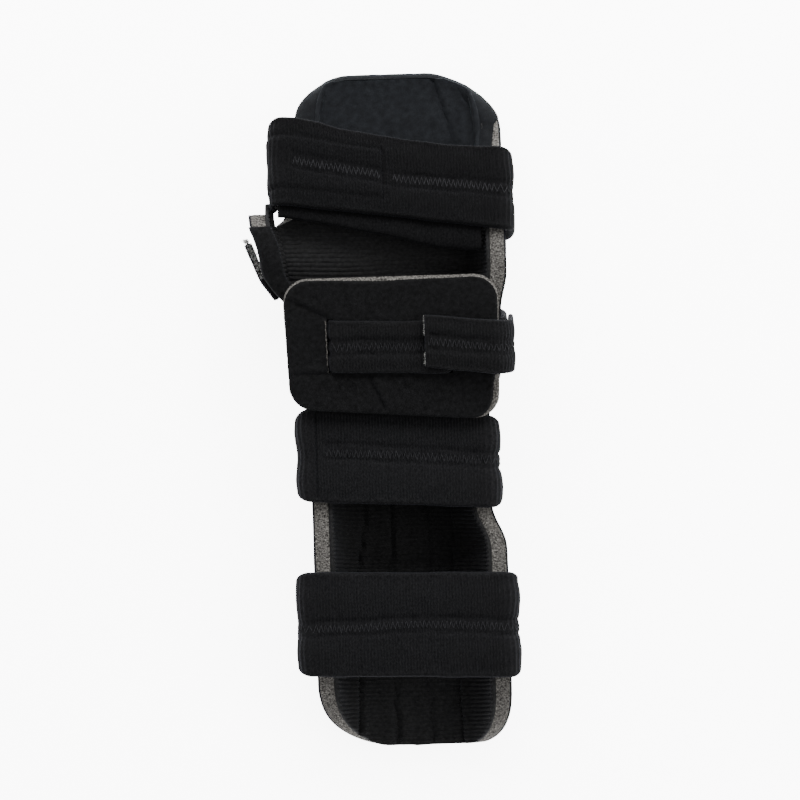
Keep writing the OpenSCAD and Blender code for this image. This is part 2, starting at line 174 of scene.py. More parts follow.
def noise(u, v, size, seed=0):
    """Smooth noise from -1 to 1 with features about size across."""
    u, v = np.broadcast_arrays(np.asarray(u, float) / size, np.asarray(v, float) / size)
    i, j = np.floor(u), np.floor(v)
    fu, fv = u - i, v - j
    fu, fv = fu * fu * (3 - 2 * fu), fv * fv * (3 - 2 * fv)
    a = lattice(i, j, seed) * (1 - fu) + lattice(i + 1, j, seed) * fu
    b = lattice(i, j + 1, seed) * (1 - fu) + lattice(i + 1, j + 1, seed) * fu
    return a * (1 - fv) + b * fv


def bump(d, width):
    """1 at d = 0, falling to 0 over about width either side."""
    return np.exp(-(np.asarray(d) / width) ** 2)


def ease(a, b, v):
    f = np.clip((v - a) / (b - a), 0, 1)
    return f * f * (3 - 2 * f)


def new_piece(name, points, faces, material, sharp=40):
    """A mesh object from points in millimetres in the trough's frame."""
    mesh = bpy.data.meshes.new(name)
    co = (np.asarray(points, float).reshape(-1, 3) + [PLACE_X, 0, 0]) * MM
    mesh.from_pydata(co.tolist(), [], faces)
    mesh.validate()
    mesh.shade_smooth()
    mesh.set_sharp_from_angle(angle=math.radians(sharp))
    mesh.materials.append(material)
    obj = bpy.data.objects.new(name, mesh)
    bpy.context.scene.collection.objects.link(obj)
    return obj


def quads(rows, cols, start=0, wrap=False):
    """Faces of a grid of points; wrap joins its last column to its first."""
    faces = []
    last = cols if wrap else cols - 1
    for k in range(rows - 1):
        for i in range(last):
            a, b = start + k * cols + i, start + k * cols + (i + 1) % cols
            faces.append((a, b, b + cols, a + cols))
    return faces


def closed_sheet(name, outer, inner, material, rim_steps=3, swell=0.0, grain=0.0, sharp=40):
    """A closed sheet between two grids of points. Its rim has rim_steps steps, bulges by swell and is
    roughened by grain, both in millimetres."""
    rows, cols = outer.shape[:2]
    n = rows * cols
    loop = [(0, i) for i in range(cols)] + [(k, cols - 1) for k in range(1, rows)]
    loop += [(rows - 1, i) for i in range(cols - 2, -1, -1)] + [(k, 0) for k in range(rows - 2, 0, -1)]
    a = np.array([outer[k, i] for k, i in loop])
    b = np.array([inner[k, i] for k, i in loop])
    inside = np.array([outer[min(max(k, 1), rows - 2), min(max(i, 1), cols - 2)] for k, i in loop])
    out = a - inside
    out /= np.maximum(np.linalg.norm(out, axis=1, keepdims=True), 1e-6)
    rings = []
    for j in range(1, rim_steps):
        f = j / rim_steps
        push = swell * math.sin(math.pi * f)
        if grain:
            index = np.arange(len(loop))
            push = push + grain * (noise(index, j, 1.0, 3) + noise(index, j, 2.5, 5))
        rings.append(a + (b - a) * f + out * np.reshape(push, (-1, 1)))
    points = np.concatenate([outer.reshape(-1, 3), inner.reshape(-1, 3)] + rings)
    faces = [(p[3], p[2], p[1], p[0]) for p in quads(rows, cols)] + quads(rows, cols, n)
    m = len(loop)
    layer = [[k * cols + i for k, i in loop]]
    layer += [[2 * n + (j - 1) * m + q for q in range(m)] for j in range(1, rim_steps)]
    layer += [[n + k * cols + i for k, i in loop]]
    for low, high in zip(layer, layer[1:]):
        faces += [(low[q], low[(q + 1) % m], high[(q + 1) % m], high[q]) for q in range(m)]
    return new_piece(name, points, faces, material, sharp)


def rows_of(low, high, step, fine_low=True, fine_high=True, fine=9.0, count=36):
    """Places along the splint, closer together near its rounded ends."""
    near = fine * (np.arange(count) / count) ** 2
    a = low + near if fine_low else np.array([])
    b = (high - near)[::-1] if fine_high else np.array([])
    y0, y1 = low + (fine if fine_low else 0), high - (fine if fine_high else 0)
    middle = np.linspace(y0, y1, max(int((y1 - y0) / step), 2))
    return np.concatenate([a, middle, b])


def signed_lanes(count):
    return np.linspace(-1, 1, 2 * count + 1)


def spread_s(y, lanes):
    """Distances along the outside for lanes from -1, the left edge, to 1, the right edge."""
    y = np.asarray(y)[:, None]
    lanes = np.asarray(lanes)[None, :]
    return np.where(lanes >= 0, at(right_girth, y), at(left_girth, y)) * lanes


# ---------------------------------------------------------------- materials

class Nodes:
    """A small helper that builds one material's node tree."""

    def __init__(self, name, color, roughness, sheen=0.0, sheen_rough=0.5, tint=(1, 1, 1)):
        self.mat = bpy.data.materials.new(name)
        self.mat.use_nodes = True
        self.tree = self.mat.node_tree
        self.shader = self.tree.nodes["Principled BSDF"]
        self.shader.inputs["Base Color"].default_value = (*color, 1)
        self.shader.inputs["Roughness"].default_value = roughness
        self.shader.inputs["Specular IOR Level"].default_value = 0.02
        self.shader.inputs["Sheen Weight"].default_value = sheen
        self.shader.inputs["Sheen Roughness"].default_value = sheen_rough
        self.shader.inputs["Sheen Tint"].default_value = (*tint, 1)
        self.place = self.node("ShaderNodeTexCoord").outputs["Object"]

    def node(self, kind, **values):
        made = self.tree.nodes.new(kind)
        for key, value in values.items():
            if hasattr(made, key):
                setattr(made, key, value)
            else:
                made.inputs[key.replace("_", " ")].default_value = value
        return made

    def link(self, a, b):
        self.tree.links.new(a, b)

    def noise(self, size_mm, detail=2.0, stretch=(1, 1, 1)):
        made = self.node("ShaderNodeTexNoise", Scale=1000 / size_mm, Detail=detail)
        scale = self.node("ShaderNodeMapping", Scale=stretch)
        self.link(self.place, scale.inputs["Vector"])
        self.link(scale.outputs["Vector"], made.inputs["Vector"])
        return made.outputs["Fac"]

    def cells(self, size_mm):
        made = self.node("ShaderNodeTexVoronoi", Scale=1000 / size_mm)
        self.link(self.place, made.inputs["Vector"])
        return made.outputs["Distance"]

    def ramp(self, factor, low, high, start=0.3, end=0.7):
        made = self.node("ShaderNodeValToRGB")
        made.color_ramp.elements[0].position = start
        made.color_ramp.elements[1].position = end
        made.color_ramp.elements[0].color = (*low, 1)
        made.color_ramp.elements[1].color = (*high, 1)
        self.link(factor, made.inputs["Fac"])
        return made.outputs["Color"]

    def color(self, output):
        self.link(output, self.shader.inputs["Base Color"])

    def relief(self, *layers):
        """Bumps from (factor, height in mm) pairs, one after the other."""
        normal = None
        for factor, height in layers:
            made = self.node("ShaderNodeBump", Strength=1.0, Distance=height * MM)
            self.link(factor, made.inputs["Height"])
            if normal:
                self.link(normal, made.inputs["Normal"])
            normal = made.outputs["Normal"]
        self.link(normal, self.shader.inputs["Normal"])


def loop_fabric():
    m = Nodes("loop_fabric", (0.006, 0.006, 0.007), 0.95, 0.03, 0.6, (0.7, 0.75, 0.9))
    m.color(m.ramp(m.noise(1.2, 3), (0.002, 0.002, 0.0025), (0.008, 0.008, 0.009)))
    m.relief((m.noise(0.5, 3), 0.5), (m.cells(0.9), 0.3))
    return m.mat


def grey_foam():
    m = Nodes("grey_foam", (0.13, 0.125, 0.12), 0.95)
    m.color(m.ramp(m.noise(0.9, 4), (0.010, 0.0095, 0.009), (0.092, 0.088, 0.082), 0.32, 0.68))
    m.relief((m.cells(1.0), 0.7), (m.noise(0.4, 2), 0.4))
    return m.mat


def ribbed_knit():
    m = Nodes("ribbed_knit", (0.005, 0.005, 0.005), 0.9, 0.02, 0.5, (0.8, 0.85, 1))
    m.color(m.ramp(m.noise(1.5, 3), (0.005, 0.005, 0.005), (0.010, 0.010, 0.0102)))
    m.relief((m.noise(0.35, 2, (1, 0.4, 1)), 0.12), (m.cells(0.6), 0.06))
    return m.mat


# Scales a colour down; used for darker copies of a material that are painted shade.
def shaded(color, painted_shade):
    return tuple(painted_shade * c for c in color)


# A last argument below 1 gives a darker copy of this material as painted shade; it scales the colour ramp and
# the sheen.
def brushed_pad(name="brushed_pad", painted_shade=1.0):
    m = Nodes(name, (0.007, 0.008, 0.010), 0.85, 0.03 * painted_shade, 0.35, (0.6, 0.8, 0.95))
    low, high = (0.0028, 0.0030, 0.0035), (0.0052, 0.0057, 0.0066)
    m.color(m.ramp(m.noise(3, 5), shaded(low, painted_shade), shaded(high, painted_shade)))
    m.relief((m.noise(0.5, 3), 0.2), (m.noise(6, 2), 0.3))
    return m.mat


def pad_fabric():
    m = Nodes("pad_fabric", (0.005, 0.005, 0.005), 0.9, 0.02, 0.5, (0.8, 0.85, 1))
    m.color(m.ramp(m.noise(2, 4), (0.0018, 0.0018, 0.0018), (0.0042, 0.0042, 0.0044)))
    m.relief((m.noise(0.4, 3), 0.25), (m.cells(0.5), 0.12))
    return m.mat


# A last argument below 1 gives a darker copy of this knit as painted shade; it scales the colour ramp and the
# sheen.
def strap_knit(name="strap_knit", painted_shade=1.0):
    m = Nodes(name, (0.006, 0.006, 0.008), 0.95, 0.022 * painted_shade, 0.4, (0.7, 0.74, 0.95))
    low, high = (0.0026, 0.0026, 0.0028), (0.0058, 0.0058, 0.0062)
    m.color(m.ramp(m.noise(1.0, 4), shaded(low, painted_shade), shaded(high, painted_shade)))
    m.relief((m.noise(0.45, 3, (0.5, 1, 1)), 0.16), (m.cells(0.8), 0.08))
    return m.mat


def narrow_loop():
    m = Nodes("narrow_loop", (0.006, 0.006, 0.007), 0.95, 0.022, 0.4, (0.7, 0.74, 0.95))
    m.color(m.ramp(m.noise(0.9, 4), (0.0024, 0.0024, 0.0025), (0.0055, 0.0055, 0.0058)))
    m.relief((m.noise(0.4, 3), 0.16), (m.cells(0.7), 0.08))
    return m.mat


def thread():
    m = Nodes("thread", (0.005, 0.005, 0.006), 0.8, 0.0)
    m.color(m.ramp(m.noise(0.6, 2), (0.005, 0.005, 0.0055), (0.018, 0.018, 0.0195)))
    return m.mat


# Light grey fibres on near-black straps: painted highlight for the light caught by the frayed fuzz at cut
# ends and edges.
def fray_thread_painted_highlight():
    m = Nodes("fray_thread_painted_highlight", (0.2, 0.2, 0.21), 0.7)
    m.color(m.ramp(m.noise(0.8, 2), (0.03, 0.03, 0.03), (0.26, 0.26, 0.25)))
    return m.mat


def hook_strip():
    m = Nodes("hook_strip", (0.008, 0.008, 0.008), 0.55)
    m.color(m.ramp(m.noise(1, 2), (0.004, 0.004, 0.004), (0.014, 0.014, 0.014)))
    m.relief((m.cells(1.1), 0.8))
    return m.mat


def core_plastic():
    m = Nodes("core_plastic", (0.75, 0.73, 0.68), 0.6)
    m.color(m.ramp(m.noise(12, 3), (0.70, 0.68, 0.62), (0.80, 0.78, 0.73)))
    m.relief((m.noise(0.6, 3), 0.1))
    return m.mat


def stay_metal():
    m = Nodes("stay_metal", (0.7, 0.71, 0.73), 0.35)
    m.shader.inputs["Metallic"].default_value = 1
    m.color(m.ramp(m.noise(2, 4, (1, 0.05, 1)), (0.62, 0.63, 0.65), (0.78, 0.79, 0.81)))
    m.relief((m.noise(0.3, 2, (1, 0.05, 1)), 0.02))
    return m.mat


LOOP, FOAM, RIBBED, BRUSHED, PAD = loop_fabric(), grey_foam(), ribbed_knit(), brushed_pad(), pad_fabric()
KNIT, NARROW, THREAD, HOOK, FRAY_PAINTED_HIGHLIGHT = strap_knit(), narrow_loop(), thread(), hook_strip(), fray_thread_painted_highlight()
CORE, METAL = core_plastic(), stay_metal()
# Darker copies as painted shade: the pan rim's rounded top catches a light band, and the hand strap is tilted
# towards the key light.
RIM_PAINTED_SHADE, HAND_KNIT_PAINTED_SHADE = brushed_pad("brushed_rim_painted_shade", 0.65), strap_knit("hand_strap_knit_painted_shade", 0.6)


def keep_node(name, material):
    """A CAD node whose shape is right, with a better material."""
    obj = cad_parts[name]
    obj.data.materials.clear()
    obj.data.materials.append(material)


for name in ("palmar_stay", "thumb_stay", "stay_rivets"):
    keep_node(name, METAL)
keep_node("core_shell", CORE)
for name in ("hand_strap_hook", "mid_strap_hook", "forearm_strap_hook", "wrist_strap_hook", "wrist_tab_hook",
        "thumb_strap_hook"):
    keep_node(name, HOOK)

# ---------------------------------------------------------------- the trough

def level(depth):
    """The same depth everywhere, as a function of place and distance."""
    return lambda y, s: depth + 0 * s


def trough_piece(name, node, slot, material, step, lanes, depth_in, depth_out, ends=None, **rim):
    """A layer of the trough. The depths are functions of place along the splint and distance s."""
    low, high = ends or (-HALF, HALF)
    y = rows_of(low, high, step)
    s = spread_s(y, lanes)
    ys = y[:, None] + 0 * s
    inner, outer = trough(ys, s, depth_in(ys, s)), trough(ys, s, depth_out(ys, s))
    piece = closed_sheet(name, inner, outer, material, **rim)
    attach(piece, "shell")
    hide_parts(node)
    return piece


trough_piece("cover_fabric", "outer_cover", "loop_fabric", LOOP, 1.2, signed_lanes(30),
    lambda y, s: 0.12 * noise(y, s, 9, 1) + 0.12, level(COVER_OUT), rim_steps=3, swell=0.25)
trough_piece("foam_body", "foam_shell", "grey_foam", FOAM, 0.7, signed_lanes(18),
    level(FOAM_IN), level(FOAM_OUT), rim_steps=12, swell=0.3, grain=0.16)

RIB_PITCH = 2.1
CREASE_LINES = (-29.5, -9.5, 8, 25)


def liner_skin(y, s):
    """Depth of the lining's face: ribs across, four long creases in the forearm, and a soft swell."""
    bow = 2.5 * np.cos(np.clip(s / 60, -1.5, 1.5)) + 1.2 * noise(s, y, 30, 4)
    ribs = 0.95 * np.abs(np.sin(math.pi * (y + bow) / RIB_PITCH)) ** 0.8
    depth = LINER_OUT + ribs * (0.5 + 0.5 * ease(8, 34, np.abs(s))) * (1 - 0.45 * ease(-5, 30, y))
    depth = depth + 0.35 * noise(y, s, 22, 6)
    forearm = 1 - ease(-30, 10, y)
    for k, line in enumerate(CREASE_LINES):
        lean = 0.055 * (y + 60) if k == 0 else 0
        centre = line + lean + 2.6 * noise(y, k * 9, 28, 7 + k) + 0.5 * noise(y, k * 9, 9, 8 + k)
        fold = 2.3 * bump(s - centre, 1.4) - 1.1 * bump(s - centre - 3.2, 2.6) - 0.7 * bump(s - centre + 4, 3)
        depth = depth - forearm * fold * (0.75 + 0.25 * noise(y, k * 5, 18, 15))
    return np.maximum(depth, LINER_IN + 0.3)


trough_piece("ribbed_lining", "ribbed_liner", "ribbed_knit", RIBBED, 0.36, signed_lanes(32),
    level(LINER_IN), liner_skin, rim_steps=4, swell=0.5)


def pad_skin(y, s):
    """Depth of the finger pad's face, with one slanting crease on its right."""
    line = s - (18.4 + 0.3 * (160.5 - y))
    fold = 1.3 * bump(line, 1.1) - 0.5 * bump(line - 3.2, 2.4)
    return PAD_OUT + 0.3 * noise(y, s, 18, 12) - fold * ease(110, 125, y)


trough_piece("pan_pad", "finger_pad", "brushed_pad", BRUSHED, 0.7, signed_lanes(44) * 0.985,
    level(PAD_IN), pad_skin, ends=PAD_ENDS, rim_steps=6, swell=1.0)

# ---------------------------------------------------------------- the thumb flap

FLAP_PIECE_START, FLAP_FOAM_END = 47, 98


def flap_piece(name, node, slot, material, step, depth_in, depth_out, end=FLAP_FOAM_END, **rim):
    """A layer of the thumb flap, from its crease to its upper edge."""
    y = rows_of(FLAP_PIECE_START, end, step, False, True, 5.0, 20)
    ys = y[:, None]
    s = at(flap_low, ys) + (at(flap_high, ys) - at(flap_low, ys)) * np.linspace(0, 1, 15)[None, :]
    ys = ys + 0 * s
    piece = closed_sheet(name, flap(ys, s, depth_in(ys, s)), flap(ys, s, depth_out(ys, s)), material, **rim)
    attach(piece, "shell")
    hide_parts(node)
    return piece


flap_piece("thumb_cover_fabric", "thumb_cover", "loop_fabric", LOOP, 0.9,
    level(0), level(COVER_OUT), swell=0.25)
flap_piece("thumb_foam_body", "thumb_foam", "grey_foam", FOAM, 0.6,
    level(FOAM_IN), level(FOAM_OUT), rim_steps=12, swell=0.3, grain=0.16)
flap_piece("thumb_lining", "thumb_liner", "ribbed_knit", RIBBED, 0.36,
    level(LINER_IN), lambda y, s: LINER_OUT + 0.6 * np.abs(np.sin(math.pi * y / RIB_PITCH)),
    end=FLAP_END, rim_steps=4, swell=0.5)


def folded_edge(name, y, edge, place, grip, thick, material):
    """Fabric folded over an edge: place(y, s, depth) gives points, edge(y) the distance s of the edge."""
    s1 = edge(y)
    line = [(-grip, -0.12), (-grip / 2, -0.12), (-0.6, -0.12), (0.1, 0.5), (0.5, 2.5), (0.55, 4.9),
        (0.5, 7.2), (0.1, 9.3), (-0.6, 9.8), (-grip / 2, 9.8), (-grip, 9.8)]
    inner = np.stack([place(y, s1 + s, d) for s, d in line], 1)
    outer = []
    for k, (s, d) in enumerate(line):
        before, after = line[max(k - 1, 0)], line[min(k + 1, len(line) - 1)]
        ds, dd = after[0] - before[0], after[1] - before[1]
        size = math.hypot(ds, dd)
        wobble = thick * (1 + 0.25 * noise(y, k, 3, 21))
        outer.append(place(y, s1 + s + wobble * dd / size, d - wobble * ds / size))
    return closed_sheet(name, np.stack(outer, 1), inner, material, rim_steps=2, swell=0.1, sharp=60)


wrap = folded_edge("thumb_wrap", np.arange(FLAP_PIECE_START, WEB + 0.1, 0.6),
    lambda y: at(flap_high, y), flap, grip=6, thick=0.6, material=PAD)
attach(wrap, "shell")
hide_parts("thumb_edge_wrap")

# ---------------------------------------------------------------- straps

class Frame:
    """A strap's own frame, in millimetres: x along the strap, y across it, z up. It stands at (y, z) over
    the trough's middle, tilted about x and slanted in plan."""

    def __init__(self, y, z, tilt, slant, shift=0.0):
        self.y, self.z, self.shift = y, z, shift
        self.cos, self.sin = math.cos(math.radians(tilt)), math.sin(math.radians(tilt))
        self.slope = math.tan(math.radians(slant))

    def place(self, x, y, z):
        x, y, z = np.broadcast_arrays(np.asarray(x, float), y, z)
        y = y + self.shift
        return np.stack([x, self.y + y * self.cos - z * self.sin, self.z + y * self.sin + z * self.cos], -1)

    def point(self, x, z):
        """A point on the strap's middle line, in metres, in the row frame."""
        p = self.place(x, 0.0, z)
        return ((p[0] + PLACE_X) * MM, p[1] * MM, p[2] * MM)


def arc(cx, cz, r, start, stop, steps=12):
    angles = np.radians(np.linspace(start, stop, steps + 1))
    return [(cx + r * math.cos(a), cz + r * math.sin(a)) for a in angles]


class Path:
    """A line in a strap's frame, resampled evenly, with its outward normals."""

    def __init__(self, points, step=0.3, soften=2.0):
        p = np.array(points, float)
        length = np.concatenate([[0], np.cumsum(np.linalg.norm(np.diff(p, axis=0), axis=1))])
        self.s = np.linspace(0, length[-1], int(length[-1] / step) + 1)
        q = np.stack([np.interp(self.s, length, p[:, k]) for k in (0, 1)], -1)
        n = max(int(soften / step), 1)
        k = np.hanning(2 * n + 3)[1:-1]
        k /= k.sum()
        first, last = q[0], q[-1]
        head = [first + (first - q[1]) * j for j in range(n, 0, -1)]
        tail = [last + (last - q[-2]) * j for j in range(1, n + 1)]
        wide = np.concatenate([head, q, tail])
        self.p = np.stack([np.convolve(wide[:, j], k, "valid") for j in (0, 1)], -1)
        t = np.gradient(self.p, axis=0)
        t /= np.linalg.norm(t, axis=1, keepdims=True)
        self.n = np.stack([-t[:, 1], t[:, 0]], -1)
        self.length = length[-1]


RIB = 1.5
GROOVE = 3.6
STRAIGHT = ((0, 0), (1, 0))


def along(line, s):
    """A table of (distance along a strap, shift across it), read at s."""
    return np.interp(s, *zip(*line))


def strap_top(v, s, width, thick, seam=(0.0, 1e9), seed=0, puff=1.0, marks=None, seam_line=STRAIGHT):
    """Height of a strap's face over its middle plane: two soft lobes, a stitched channel between two
    grooves, and fine ribs across the strap."""
    edge = np.clip((width / 2 - np.abs(v)) / (thick / 2), 0, 1)
    body = thick / 2 * np.sqrt(np.clip(1 - (1 - edge) ** 2, 0, 1))
    on = ease(seam[0], seam[0] + 3, s) * (1 - ease(seam[1] - 3, seam[1], s))
    middle = v - along(seam_line, s)
    w = middle + 0.45 * noise(s, 0 * s, 7, seed + 5)
    deep = 0.75 + 0.3 * noise(s, 0 * s, 5, seed + 6)
    channel = 0.4 * bump(middle, GROOVE) + deep * (bump(w - GROOVE, 0.9) + bump(w + GROOVE, 0.9))
    lobe = 0.35 * puff * np.cos(math.pi * np.clip(v / (width / 2), -1, 1) * 2 + math.pi)
    ribs = 0.2 * np.sin(2 * math.pi * (s + 0.5 * noise(s, v, 14, seed + 1)) / RIB)
    soft = 0.35 * noise(s, v, 13, seed + 2) + 0.12 * noise(s, v, 4, seed + 3)
    flat = np.clip((width / 2 - np.abs(v)) / 2.5, 0, 1)
    extra = marks(v, s) if marks else 0
    return body + flat * (lobe - channel * on + ribs + soft + extra)


def strap_mesh(name, frame_of, path, width, thick, material, edge_wave=0.35, end_round=2.0,
        tuck=(0, 0, 0), top_line=STRAIGHT, **face):
    """A soft strap along a path. Its inner face is on the path and its outer face thick above. tuck is
    how far its two ends are drawn in and by how much, and top_line shifts its far edge."""
    half = width / 2
    turn = np.linspace(-math.pi / 2, math.pi / 2, 9)
    right = half - thick / 2 + thick / 2 * np.cos(turn)
    over = np.linspace(half - thick / 2, -half + thick / 2, int(width / 1.1))[1:-1]
    under = np.linspace(-half + thick / 2, half - thick / 2, 12)[1:-1]
    v = np.concatenate([right, over, -right[::-1], under])
    side = np.concatenate([np.sin(turn), np.ones(len(over)), np.sin(turn[::-1]), -np.ones(len(under))])
    s = path.s[:, None]
    corner = min(tuck[0], path.length / 2)
    far_corner = path.length - tuck[1]
    narrow = 1 - ease(corner - 4, corner + 3, s) + ease(far_corner - 3, far_corner + 4, s)
    v2 = v[None, :] * (1 - tuck[2] * narrow / half)
    ends = np.sqrt(np.clip(1 - np.clip(1 - np.minimum(s, path.length - s) / end_round, 0, 1) ** 2, 0.02, 1))
    up = np.where(side > 0, strap_top(v2, s, width, thick, **face), 0)
    flank = np.abs(v[None, :]) > half - thick / 2
    h = thick / 2 + ends * np.where(side > 0, np.where(flank, thick / 2 * side, up), thick / 2 * side)
    wave = edge_wave * noise(s, 0 * s + 3, 11, 31) * np.sign(v2) * (np.abs(v2) / half) ** 3
    x = path.p[:, 0:1] + path.n[:, 0:1] * h
    z = path.p[:, 1:2] + path.n[:, 1:2] * h
    lift = along(top_line, s) * np.clip((v2 / half + 0.7) / 1.7, 0, 1) ** 2
    y = v2 + wave + lift - path.p[:, 0:1] * frame_of.slope
    points = frame_of.place(x, y, z)
    rows, cols = points.shape[:2]
    faces = quads(rows, cols, wrap=True)
    faces.append(tuple(range(cols))[::-1])
    faces.append(tuple((rows - 1) * cols + i for i in range(cols)))
    return new_piece(name, points, faces, material, 60)


def tube(points, radius, sides=5):
    """Points and faces of a thin closed thread along a list of points."""
    p = np.array(points, float)
    t = np.gradient(p, axis=0)
    t /= np.linalg.norm(t, axis=1, keepdims=True)
    a = np.cross(t, [0.3, 0.2, 0.93])
    a /= np.linalg.norm(a, axis=1, keepdims=True)
    b = np.cross(t, a)
    angles = np.arange(sides) * 2 * math.pi / sides
    round_a, round_b = np.cos(angles)[None, :, None], np.sin(angles)[None, :, None]
    rings = p[:, None] + radius * (a[:, None] * round_a + b[:, None] * round_b)
    faces = quads(len(p), sides, wrap=True) + [tuple(range(sides))[::-1]]
    faces.append(tuple((len(p) - 1) * sides + i for i in range(sides)))
    return rings.reshape(-1, 3), faces


def threads(name, lines, radius, material=None):
    """One piece from several threads, each a list of points."""
    points, faces, count = [], [], 0
    for line in lines:
        p, f = tube(line, radius)
        points.append(p)
        faces += [tuple(i + count for i in face) for face in f]
        count += len(p)
    return new_piece(name, np.concatenate(points), faces, material or THREAD, 70)


STITCH_R = 0.19


def zigzag(name, frame_of, path, width, thick, start, stop, reach=2.2, pitch=1.1, gap=None, **face):
    """Zigzag stitching along a strap's seam, left out between the two ends of gap."""
    s = np.arange(start, stop, pitch / 4)
    v = reach * (1 - 4 * np.abs(((s / pitch) % 2) / 2 - 0.5))
    v = v * (1 + 0.12 * noise(s, 0 * s, 3, 41)) + 0.4 * noise(s, 0 * s, 9, 42)
    v = v + along(face.get("seam_line", STRAIGHT), s)
    h = thick / 2 + strap_top(v, s, width, thick, **face)
    h = h + 0.04 + 0.1 * np.abs(np.sin(math.pi * s / pitch)) + 0.16 * noise(s, 0 * s, 2.3, 43)
    px, pz = np.interp(s, path.s, path.p[:, 0]), np.interp(s, path.s, path.p[:, 1])
    nx, nz = np.interp(s, path.s, path.n[:, 0]), np.interp(s, path.s, path.n[:, 1])
    line = frame_of.place(px + nx * h, v - px * frame_of.slope, pz + nz * h)
    lines = [line[s < gap[0]], line[s > gap[1]]] if gap else [line]
    return threads(name, lines, STITCH_R)


def joined(piece, frame_of, x, z):
    """Bakes a strap's placement into its mesh. Two points either side of its fold at (x, z) in its frame are
    worked out but not used.
    """
    lean = 0.35
    frame_of.point(x + 3 * lean, z - 3)
    frame_of.point(x - 3 * lean, z + 3)
    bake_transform(piece)


WIDE_FOLD = 8
WIDE_T = 4.2
TO_THE_END = 1e9
hand = Frame(114.2, 46.5, -20, 8.4)
mid = Frame(-24.3, 43.5, 0, 3.4)
forearm = Frame(-104.8, 43.5, 0, 1.8)


def wide_strap(name, frame_of, x, width, leg, straight, bend_r, bend, seam, seed, marks, seam_line, gap=None,
        top_line=STRAIGHT, material=KNIT):
    """A wide strap over the trough from x[0] to x[1]: down the left wall by leg, and down the right
    wall by straight, then round under it on bend_r by bend degrees."""
    r = 4.5
    line = [(x[0], -leg)] + arc(x[0] + r, -r, r, 180, 90) + arc(x[1] - r, -r, r, 90, 0)
    line += arc(x[1] - bend_r, -straight, bend_r, 0, -bend)
    path = Path(line)
    face = dict(seam=seam, seed=seed, marks=marks, seam_line=seam_line)
    tail = path.length - (leg + x[1] - x[0] - 2 * (2 - math.pi / 2) * r)
    band = strap_mesh(name + "_band", frame_of, path, width, WIDE_T, material, tuck=(leg - 2, tail - 3, 2.2),
        top_line=top_line, **face)
    joined(band, frame_of, x[1] + WIDE_T, -WIDE_FOLD)
    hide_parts(name, name + "_anchor")
    stitch = zigzag(name + "_stitching", frame_of, path, width, WIDE_T, seam[0] + 2,
        min(seam[1], path.length - 6), gap=gap, **face)
    joined(stitch, frame_of, x[1] + WIDE_T, -WIDE_FOLD)


def hand_marks(v, s):
    """The hook tab shows through the strap as a raised step with a stitched end."""
    end = 66
    inside = ease(-13.5, -12, v) * (1 - ease(12, 13.5, v))
    step = 0.5 * inside * (1 - ease(end - 1, end + 1, s))
    line = 1.1 * bump(s - end, 0.8) * inside + 0.8 * (bump(v - 13.2, 1.0) + bump(v + 13.2, 1.0)) * (s < end)
    gap = 0.55 * bump(s - end - 4, 5) * bump(v, 4)
    return step - line + gap


def mid_marks(v, s):
    """A stitched line across the strap near its left end."""
    return -0.8 * bump(s - 23.5, 0.8) + 0.3 * (1 - ease(22, 24, s))


def forearm_marks(v, s):
    """A shallow dent and a swell along the strap."""
    return -0.2 * bump(v + 9, 3) + 0.15 * bump(v - 14, 5)


# The hand strap uses the darker copy of the knit, painted shade for a strap tilted towards the key light.
wide_strap("hand_strap", hand, (-59.8, 51.5), width=44, leg=16, straight=11, bend_r=17, bend=30,
    seam=(20, TO_THE_END), seed=100, marks=hand_marks,
    seam_line=((22, 1.5), (61, -1.3), (70, -2.6), (94, -1.9), (124, -1.4)), gap=(64.5, 70.5),
    top_line=((8, 1.2), (14, 2.4), (24, 3.0), (36, 1.5), (45, -0.4), (65, -1.7), (85, -2.9), (98, -3.1),
        (114, -2.1), (126, -0.7), (132, 0)), material=HAND_KNIT_PAINTED_SHADE)
wide_strap("mid_strap", mid, (-50.2, 41.2), width=44.1, leg=20, straight=9.7, bend_r=34, bend=48,
    seam=(26, TO_THE_END), seed=200, marks=mid_marks, seam_line=((26, 2.6), (60, 2.2), (105, 1.0)),
    top_line=((12, 0), (22, 2.2), (60, 2.2), (104, 1.7), (112, 0)))
wide_strap("forearm_strap", forearm, (-52.4, 48), width=51.5, leg=20, straight=9.7, bend_r=34, bend=48,
    seam=(8, TO_THE_END), seed=300, marks=forearm_marks,
    seam_line=((20, -2.4), (45, -1.6), (75, 0.2), (100, -0.4), (122, -1.4)))


def under_lip():
    """The hand strap's second layer, which shows as a lip below its lower edge."""
    u = np.arange(-60, 39.5, 0.42)
    low = np.interp(u, (-60, -49, -35.5, -14, 0, 18, 38, 40),
        (-18, -19.4, -22.7, -27.4, -31, -35.4, -37.4, -37.0))
    edge = -22.25 - u * hand.slope
    start = edge + 5
    f = np.linspace(0, 1, 22)[None, :]
    y = start[:, None] + (low - start)[:, None] * f + 0.3 * noise(u, 0 * u, 8, 91)[:, None] * f
    past = np.maximum(edge[:, None] - y, 0)
    end = np.minimum(u + 60, 39.5 - u)[:, None]
    thick = 2.3 * np.sqrt(np.clip(1 - np.clip(1 - end / 2.5, 0, 1) ** 2, 0.03, 1))
    to_edge = np.clip(1 - (1 - f) * (low - start)[:, None] / -1.6, 0, 1)
    thick = thick * np.sqrt(np.clip(1 - to_edge ** 2, 0.03, 1))
    drop = 0.9 + 0.035 * past ** 2 + 0.3 * noise(u[:, None], y, 12, 92)
    ribs = 0.13 * np.sin(2 * math.pi * u / RIB)[:, None]
    middle = -drop - 1.15
    top = hand.place(u[:, None], y, middle + thick / 2 + ribs * (thick > 1.5))
    below = hand.place(u[:, None], y, middle - thick / 2)
    # The lip shares the hand strap's darker knit, painted shade.
    piece = closed_sheet("hand_strap_lip", below, top, HAND_KNIT_PAINTED_SHADE, rim_steps=2, sharp=60)
    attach(piece, "hand_strap")


under_lip()

# ---------------------------------------------------------------- wrist pad

